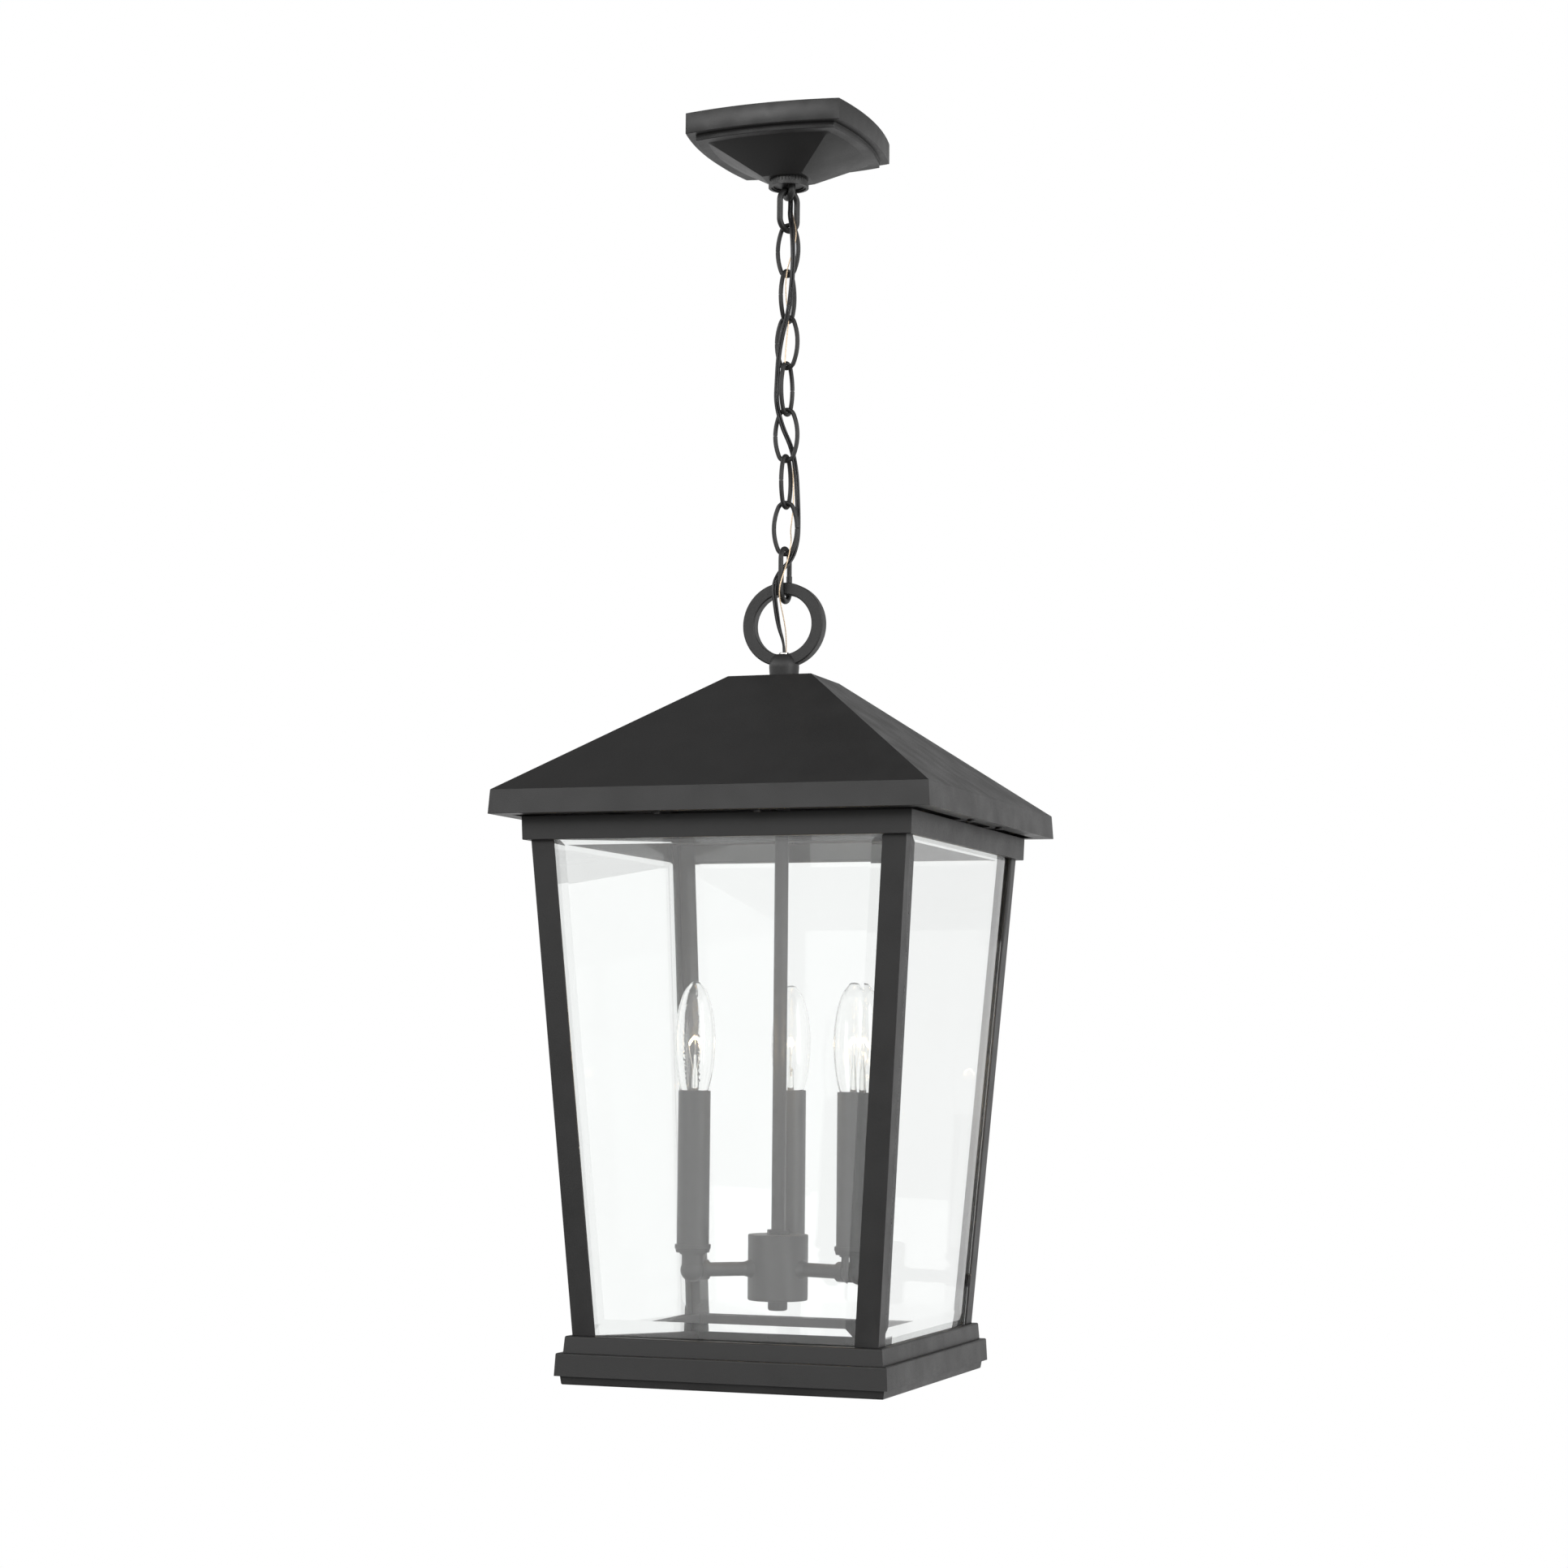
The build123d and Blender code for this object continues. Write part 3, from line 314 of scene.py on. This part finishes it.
def soften(name, width):
    """Round the sharp edges of one carried-over node."""
    piece = nodes[name]
    weld = piece.modifiers.new("weld", "WELD")
    weld.merge_threshold = 0.001 * mm
    bevel = piece.modifiers.new("soft_edges", "BEVEL")
    bevel.width = width * mm
    bevel.segments = 2
    bevel.limit_method = "ANGLE"
    bevel.angle_limit = radians(40)
    bevel.use_clamp_overlap = True
    bevel.harden_normals = True


panes = ["glass_front", "glass_right", "glass_back", "glass_left"]
special = {
    "crossbar": zinc, "threaded_nipple": zinc, "nipple_locknut": zinc, "ground_screw": green_screw,
    "wire_nuts": splice_plastic, "wire_bushing": nickel, "candle_sleeves": sleeve_coat,
    "sockets": lamp_holder, "bulb_glass": lamp_glass, "bulb_bases": lamp_shell,
    **dict.fromkeys(panes, pane_glass),
}
edge_round = 0.5            # millimetres, on the sheet and bar pieces
for node in nodes:
    finish_node(node, special.get(node, black_coat))
for node in ("canopy_shell", "roof_shell", "upper_frame", "post_front_left", "post_front_right",
             "post_back_left", "post_back_right"):
    soften(node, edge_round)


# ---- leads through the chain ----
# Control points of the pair of black wires: the lead's own route from the splices to the
# hub, and on down the stem.
pair_route = [
    (-0.0195, 0.0270, -0.0095), (-0.0115, 0.0210, -0.0125), (-0.0050, 0.0140, -0.0185),
    (-0.0015, 0.0082, -0.0250), (-0.0015, 0.0082, -0.0310), (-0.0015, 0.0082, -0.0405),
    (-0.0015, 0.0087, -0.0500), (-0.0012, 0.0082, -0.0590), (0.0010, 0.0010, -0.0675),
    (0.0055, -0.0075, -0.0770), (0.0080, -0.0115, -0.0920), (0.0085, -0.0120, -0.1090),
    (0.0070, -0.0110, -0.1270), (0.0040, -0.0085, -0.1440), (-0.0015, -0.0070, -0.1610),
    (-0.0050, -0.0055, -0.1780), (-0.0060, -0.0050, -0.1960), (-0.0065, -0.0055, -0.2130),
    (-0.0025, -0.0025, -0.2310), (0.0035, 0.0025, -0.2460), (0.0060, 0.0060, -0.2630),
    (0.0065, 0.0080, -0.2820), (0.0070, 0.0090, -0.3010), (0.0070, 0.0080, -0.3170),
    (0.0040, 0.0040, -0.3315), (-0.0030, -0.0035, -0.3415), (-0.0060, -0.0090, -0.3530),
    (-0.0045, -0.0080, -0.3680), (-0.0030, -0.0045, -0.3840), (-0.0005, -0.0005, -0.3945),
    (0.0000, 0.0000, -0.4040), (0.0000, 0.0000, -0.4300), (0.0000, 0.0000, -0.8350),
]
# Control points of the loose bare earth, as (across the view, away, height).
earth_places = [
    (-9.2, 33.0, -9.5), (-3.7, 24.9, -12.0), (0.2, 16.4, -17.5),
    (1.4, 9.6, -25.0), (1.4, 9.6, -40.5), (1.4, 9.8, -50.0), (2.6, 8.4, -59.0),
    (3.4, 1.2, -68.0), (5.4, -7.5, -77.0), (6.1, -11.0, -86.0), (4.2, -11.2, -97.0),
    (0.6, -10.2, -107.0), (-1.3, -8.0, -117.0), (-1.6, -7.0, -126.0), (-1.0, -6.8, -135.0),
    (0.3, -6.8, -143.5), (0.9, -6.5, -151.5), (0.1, -6.0, -159.0), (-0.8, -5.4, -168.0),
    (-1.4, -4.8, -179.0), (-1.9, -3.8, -188.0), (-3.2, -2.6, -197.0), (-6.2, -1.6, -206.0),
    (-7.3, -1.8, -214.0), (-5.2, -1.0, -224.0), (-2.4, -0.2, -232.0), (0.6, 1.2, -240.0),
    (3.4, 2.3, -248.0), (5.0, 3.6, -256.0), (5.4, 4.4, -265.0), (5.9, 4.9, -279.0),
    (5.8, 5.1, -291.0), (4.8, 4.5, -301.0), (3.7, 1.6, -310.0), (4.6, -2.4, -317.0),
    (3.6, -4.8, -325.0), (1.8, -6.8, -334.0), (-0.9, -10.0, -343.0), (-3.1, -11.8, -350.5),
    (-4.4, -10.8, -358.0), (-3.4, -8.5, -366.0), (-1.2, -6.3, -375.0), (0.8, -3.6, -385.0),
    (1.4, -1.2, -394.0), (1.4, 0.0, -402.0), (1.4, 0.0, -430.0), (1.4, 0.0, -835.0),
]
splice_mouth_x = -30.0 * mm
splice_mouth_z = -9.5 * mm


def from_view(across, away, height):
    """A place in metres from millimetres across the view, away from it and up."""
    return (
        (across * cos(view_turn) - away * sin(view_turn)) * mm,
        (across * sin(view_turn) + away * cos(view_turn)) * mm,
        height * mm,
    )


earth_route = [from_view(*place) for place in earth_places]


def smooth_line(points):
    """Points along one open NURBS spline that follows its control points."""
    data = bpy.data.curves.new("route", "CURVE")
    data.dimensions = "3D"
    data.resolution_u = 14
    spline = data.splines.new("NURBS")
    spline.points.add(len(points) - 1)
    for point, place in zip(spline.points, points):
        point.co = (*place, 1)
    spline.order_u = 3
    spline.use_endpoint_u = True
    curve = bpy.data.objects.new("route", data)
    bpy.context.collection.objects.link(curve)
    mesh = bpy.data.meshes.new_from_object(curve)
    line = [vertex.co.copy() for vertex in mesh.vertices]
    bpy.data.objects.remove(curve)
    bpy.data.meshes.remove(mesh)
    return line


def with_cuts(line, heights):
    """The line with a point added where it first falls past each height, and their places."""
    out, cuts, waiting = [line[0]], [], list(heights)
    for start, end in zip(line, line[1:]):
        while waiting and start.z > waiting[0] >= end.z:
            height = waiting.pop(0)
            out.append(start.lerp(end, (start.z - height) / (start.z - end.z)))
            cuts.append(len(out) - 1)
        out.append(end)
    return out, cuts


def side_frames(line):
    """A pair of crosswise directions at each point, carried along without twisting."""
    side = Vector((1, 0, 0))
    frames = []
    for i in range(len(line)):
        ahead = (line[min(i + 1, len(line) - 1)] - line[max(i - 1, 0)]).normalized()
        side = (side - ahead * side.dot(ahead)).normalized()
        frames.append((side.copy(), ahead.cross(side)))
    return frames


def tube_rings(line, radius, sides):
    """The rings of a round tube along a line."""
    rings = []
    for point, (side, over) in zip(line, side_frames(line)):
        turns = [2 * pi * i / sides for i in range(sides)]
        rings.append([point + (side * cos(turn) + over * sin(turn)) * radius for turn in turns])
    return rings


def add_rings(shape, rings, close_start, close_end):
    """Skin a run of rings in a bmesh."""
    corners = [[shape.verts.new(place) for place in ring] for ring in rings]
    sides = len(corners[0])
    for before, after in zip(corners, corners[1:]):
        for i in range(sides):
            j = (i + 1) % sides
            shape.faces.new((before[i], before[j], after[j], after[i])).smooth = True
    if close_start:
        shape.faces.new(list(reversed(corners[0])))
    if close_end:
        shape.faces.new(corners[-1])


def place_piece(name, shape, material):
    """Turn a bmesh into a piece with its finish."""
    bmesh.ops.recalc_face_normals(shape, faces=shape.faces)
    data = bpy.data.meshes.new(name)
    shape.to_mesh(data)
    shape.free()
    piece = bpy.data.objects.new(name, data)
    bpy.context.collection.objects.link(piece)
    data.materials.append(material)
    return piece


link_boxes = [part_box(f"chain_link_{i}") for i in range(1, 10)]
link_middles = [(low.z + high.z) / 2 for low, high in link_boxes]
pivots = [joint["pos_m"][2] for joint in frame["joints"]]
wire_radius = 0.97 * mm
earth_radius = 0.45 * mm
hub_height = -0.375         # below this the pair turns a quarter, one wire behind the other
quarter_run = 0.025         # the drop over which it makes that turn
sway = 0.35                 # how far the pair turns each way, in radians
sway_rate = 46              # and how fast, in radians per metre of drop
wire_sides, earth_sides = 14, 10
far_mouth, middle_mouth, near_mouth = 38.0, 27.0, 16.0  # the splice caps' rows
wire_sag, earth_sag = 0.5, 2.0


def pair_lines():
    """The two black wires, side by side, turning slowly about the route, and their cuts."""
    middle, cuts = with_cuts(smooth_line(pair_route), link_middles)
    lines = ([], [])
    for i, point in enumerate(middle):
        ahead = (middle[min(i + 1, len(middle) - 1)] - middle[max(i - 1, 0)]).normalized()
        swing = sway * sin(point.z * sway_rate)
        if point.z < hub_height:
            swing += min(1.0, (hub_height - point.z) / quarter_run) * pi / 2
        across = Vector((cos(view_turn + swing), sin(view_turn + swing), 0))
        across = (across - ahead * across.dot(ahead)).normalized()
        for line, way in zip(lines, (1, -1)):
            line.append(point + across * way * (wire_radius + 0.01 * mm))
    return lines, cuts


def splice_lead(start, after, mouth_y, sag):
    """A wire's run from its splice cap to its start on the route."""
    mouth = Vector((splice_mouth_x - 1.5 * mm, mouth_y * mm, splice_mouth_z))
    back = (start - after).normalized() * 5.0 * mm
    front = mouth + Vector((7.0 * mm, 0, -sag * mm))
    steps = 14
    curve = []
    for i in range(steps):
        t = i / steps
        one = mouth * (1 - t) ** 3 + front * 3 * t * (1 - t) ** 2
        two = (start + back) * 3 * t * t * (1 - t) + start * t ** 3
        curve.append(one + two)
    return curve


def wire_stretches(line, cuts, mouth_y, sag, radius, sides):
    """A wire's rings, from its splice to the stem, cut at the middle of each link."""
    lead = splice_lead(line[0], line[1], mouth_y, sag)
    rings = tube_rings(lead + line, radius, sides)
    ends = [0] + [cut + len(lead) for cut in cuts] + [len(rings) - 1]
    return [rings[start:end + 1] for start, end in zip(ends, ends[1:])]


def make_leads():
    """The leads in one piece per joint, cut at the middle of each link."""
    (first_wire, second_wire), pair_cuts = pair_lines()
    earth_wire, earth_cuts = with_cuts(smooth_line(earth_route), link_middles)
    pair_shape = (wire_sag, wire_radius, wire_sides)
    first_runs = wire_stretches(first_wire, pair_cuts, far_mouth, *pair_shape)
    second_runs = wire_stretches(second_wire, pair_cuts, near_mouth, *pair_shape)
    earth_shape = (earth_sag, earth_radius, earth_sides)
    earth_runs = wire_stretches(earth_wire, earth_cuts, middle_mouth, *earth_shape)
    cord_nodes = ["cord_canopy"] + [f"cord_link_{i}" for i in range(1, 10)] + ["cord_lantern"]
    for index, pivot in enumerate(pivots):
        first, last = index == 0, index == len(pivots) - 1
        pair, earth = bmesh.new(), bmesh.new()
        add_rings(pair, first_runs[index], first, last)
        add_rings(pair, second_runs[index], first, last)
        add_rings(earth, earth_runs[index], first, last)
        black_pair = place_piece(f"lead_pair_{index + 1}", pair, insulation)
        bare_earth = place_piece(f"lead_earth_{index + 1}", earth, bare_copper)
        for piece in (black_pair, bare_earth):
            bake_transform(piece)
        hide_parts(*(cord_nodes[:2] if first else [cord_nodes[index + 1]]))


make_leads()


# ---- lamps ----
lamp_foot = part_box("bulb_glass")[0].z
candle_circle = 67.5 * mm
candle_turns = [radians(angle) for angle in (-17.4, 102.6, 222.6)]
on_axis = 1e-7              # a radius this small is a point on the axis
steps_per_turn = 10         # of the filament's coil
support_radius, middle_support_radius = 0.24 * mm, 0.15 * mm


def add_tube(shape, line, radius, sides):
    """Add a closed round tube along a line to a bmesh."""
    add_rings(shape, tube_rings(line, radius, sides), True, True)


def lathe(shape, outline, sides):
    """Add a solid of revolution about Z from (radius, height) points to a bmesh."""
    rings = []
    for radius, height in outline:
        if radius < on_axis:
            rings.append([shape.verts.new((0, 0, height))])
            continue
        ring = []
        for i in range(sides):
            angle = 2 * pi * i / sides
            ring.append(shape.verts.new((radius * cos(angle), radius * sin(angle), height)))
        rings.append(ring)
    for before, after in zip(rings, rings[1:]):
        for i in range(sides):
            j = (i + 1) % sides
            corners = [before[i % len(before)], before[j % len(before)],
                       after[j % len(after)], after[i % len(after)]]
            kept = list(dict.fromkeys(corners))
            shape.faces.new(kept).smooth = True


def coil_line(height, half_span, rise, coil_radius, turns):
    """A fine coil along a bowed line between two supports."""
    steps = turns * steps_per_turn
    line = []
    for i in range(steps + 1):
        t = i / steps
        middle = Vector(((2 * t - 1) * half_span, 0, height + rise * sin(pi * t)))
        angle = 2 * pi * turns * t
        line.append(middle + Vector((0, cos(angle), sin(angle))) * coil_radius)
    return line


def spread_to_candles(shape):
    """Copy what a bmesh holds from the Z axis out to the three candles."""
    source = bpy.data.meshes.new("source")
    shape.to_mesh(source)
    shape.free()
    out = bmesh.new()
    for turn in candle_turns:
        across, over = candle_circle * cos(turn), candle_circle * sin(turn)
        place = Matrix.Translation((across, over, lamp_foot))
        copy = source.copy()
        copy.transform(place @ Matrix.Rotation(turn, 4, "Z"))
        out.from_mesh(copy)
    return out


def make_lamp_insides():
    """Pressed glass stem, support wires and glowing coil of each lamp."""
    stem = bmesh.new()
    outline = [(0, 1.5), (3.6, 1.5), (2.6, 4.0), (2.2, 12.0), (2.0, 20.0), (1.2, 22.5), (0.9, 30.0),
               (1.1, 31.0), (0.6, 32.0), (0, 32.2)]
    lathe(stem, [(r * mm, z * mm) for r, z in outline], 24)
    stems = place_piece("lamp_stems", spread_to_candles(stem), stem_glass)
    wires = bmesh.new()
    for side in (-1, 1):
        line = [(side * 1.3, 0, 16.0), (side * 1.6, 0, 22.0), (side * 3.2, 0, 28.0),
                (side * 5.0, 0, 38.5), (side * 4.6, 0, 39.5)]
        add_tube(wires, smooth_line([Vector(p) * mm for p in line]), support_radius, 8)
    middle_line = [(0, 0, 31.5), (0, 1.2, 36.0), (0, 0.3, 43.0)]
    middle_points = smooth_line([Vector(p) * mm for p in middle_line])
    add_tube(wires, middle_points, middle_support_radius, 8)
    supports = place_piece("lamp_supports", spread_to_candles(wires), support_wire)
    coil = bmesh.new()
    turns = coil_line(height=39.0 * mm, half_span=4.6 * mm, rise=4.8 * mm,
                      coil_radius=0.85 * mm, turns=14)
    add_tube(coil, turns, 0.36 * mm, 8)
    coils = place_piece("lamp_coils", spread_to_candles(coil), hot_wire)
    for piece in (stems, supports, coils):
        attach(piece, "lantern")
    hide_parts("filaments")


make_lamp_insides()


# ---- stage ----
floor_height = -2.0
floor_half = 12.0


def level_ramp(group, height, levels):
    """Brightness against height, from (height, level) pairs. Height runs from -1 to 1."""
    ramp = group.nodes.new("ShaderNodeValToRGB")
    elements = ramp.color_ramp.elements
    while len(elements) < len(levels):
        elements.new(0.5)
    for element, (place, level) in zip(elements, levels):
        element.position = (place + 1) / 2
        element.color = (level, level, level, 1)
    group.links.new(height, ramp.inputs[0])
    return ramp.outputs["Color"]


def make_room_group():
    """How bright the studio is in a direction: brightest a little above level, in front."""
    group, given, result = new_group(
        "room_light", [("Direction", "Vector", (0, 0, 0))], [("Colour", "Color")]
    )
    split = group.nodes.new("ShaderNodeSeparateXYZ")
    group.links.new(given.outputs["Direction"], split.inputs[0])
    height = math_node(group, "MULTIPLY", math_node(group, "ADD", split.outputs["Z"], 1.0), 0.5)
    turned = math_node(group, "ADD", math_node(group, "MULTIPLY", split.outputs["Y"], 0.8), 0.5)
    behind = group.nodes.new("ShaderNodeClamp")
    group.links.new(turned, behind.inputs["Value"])
    mix = group.nodes.new("ShaderNodeMix")
    mix.data_type = "RGBA"
    group.links.new(behind.outputs[0], mix.inputs["Factor"])
    group.links.new(level_ramp(group, height, front_levels), mix.inputs["A"])
    group.links.new(level_ramp(group, height, back_levels), mix.inputs["B"])
    group.links.new(mix.outputs["Result"], result.inputs["Colour"])
    return group


# Studio brightness against height, from straight down (-1) to straight up (1).
front_levels = [(-1.0, 0.20), (-0.6, 0.20), (-0.4, 0.25), (-0.2, 0.25), (-0.05, 0.35), (0.05, 0.6),
                (0.15, 1.4), (0.28, 3.8), (0.45, 2.2), (0.62, 0.5), (0.8, 0.2), (1.0, 0.12)]
back_levels = [(-1.0, 0.25), (-0.6, 0.60), (-0.4, 1.0), (0.0, 0.95), (0.12, 0.85), (0.3, 0.62),
               (0.5, 0.35), (0.8, 0.2), (1.0, 0.12)]
room_light = make_room_group()


def seen_white(tree, direction):
    """White to the camera, straight or through glass, and the studio's light otherwise."""
    room = tree.nodes.new("ShaderNodeGroup")
    room.node_tree = room_light
    tree.links.new(direction, room.inputs["Direction"])
    path = tree.nodes.new("ShaderNodeLightPath")
    straight, through = path.outputs["Is Camera Ray"], path.outputs["Is Transmission Ray"]
    seen = math_node(tree, "MAXIMUM", straight, through)
    mix = tree.nodes.new("ShaderNodeMix")
    mix.data_type = "RGBA"
    mix.clamp_result = False
    tree.links.new(seen, mix.inputs["Factor"])
    tree.links.new(room.outputs["Colour"], mix.inputs["A"])
    mix.inputs["B"].default_value = (1, 1, 1, 1)
    return mix.outputs["Result"]


def make_stage():
    """A floor well below the lantern, white as seen."""
    mesh = bpy.data.meshes.new("floor")
    half = floor_half
    corners = [(-half, -half, 0), (half, -half, 0), (half, half, 0), (-half, half, 0)]
    mesh.from_pydata(corners, [], [(0, 1, 2, 3)])
    floor = bpy.data.objects.new("floor", mesh)
    floor.location = (0, 0, floor_height)
    bpy.context.collection.objects.link(floor)
    material = bpy.data.materials.new("pale_floor")
    material.use_nodes = True
    tree = material.node_tree
    tree.nodes.remove(tree.nodes["Principled BSDF"])
    back = tree.nodes.new("ShaderNodeVectorMath")
    back.operation = "SCALE"
    back.inputs["Scale"].default_value = -1
    tree.links.new(tree.nodes.new("ShaderNodeNewGeometry").outputs["Incoming"], back.inputs[0])
    glow = tree.nodes.new("ShaderNodeEmission")
    tree.links.new(seen_white(tree, back.outputs["Vector"]), glow.inputs["Color"])
    tree.links.new(glow.outputs[0], tree.nodes["Material Output"].inputs["Surface"])
    mesh.materials.append(material)


def make_world():
    """White all round as seen, with the studio's light on everything."""
    world = bpy.data.worlds.new("studio")
    world.use_nodes = True
    tree = world.node_tree
    tree.nodes.clear()
    way = tree.nodes.new("ShaderNodeTexCoord").outputs["Generated"]
    background = tree.nodes.new("ShaderNodeBackground")
    output = tree.nodes.new("ShaderNodeOutputWorld")
    tree.links.new(seen_white(tree, way), background.inputs["Color"])
    tree.links.new(background.outputs[0], output.inputs["Surface"])
    bpy.context.scene.world = world


def add_softbox(name, place, aim, size, power):
    """A rectangular studio light aimed at a point."""
    data = bpy.data.lights.new(name, "AREA")
    data.shape = "RECTANGLE"
    data.size, data.size_y = size
    data.energy = power
    light = bpy.data.objects.new(name, data)
    light.location = place
    light.rotation_mode = "QUATERNION"
    light.rotation_quaternion = (Vector(aim) - Vector(place)).to_track_quat("-Z", "Y")
    bpy.context.collection.objects.link(light)
    return light


def light_only(light, names):
    """Keep a light's effect to the named nodes."""
    group = bpy.data.collections.new(light.name + "_receivers")
    for name in names:
        group.objects.link(nodes[name])
    light.light_linking.receiver_collection = group


make_stage()
make_world()
add_softbox("softbox_right", place=(2.2, -0.9, -0.3), aim=(0, 0, -0.6), size=(1.0, 1.8), power=16)
front_card = add_softbox("front_card", place=(-0.89, -2.43, -1.10), aim=(0, -0.13, -0.73),
                         size=(0.95, 1.15), power=4.6)
light_only(front_card, panes)
canopy_card = add_softbox("canopy_card", place=(-0.58, -1.63, 0.45), aim=(0, 0, -0.02),
                          size=(0.7, 0.5), power=7.0)
light_only(canopy_card, ["canopy_shell", "collar_ring", "canopy_loop"])
bpy.context.scene.view_settings.view_transform = "Standard"

# ---- the end ----
bpy.context.view_layer.update()
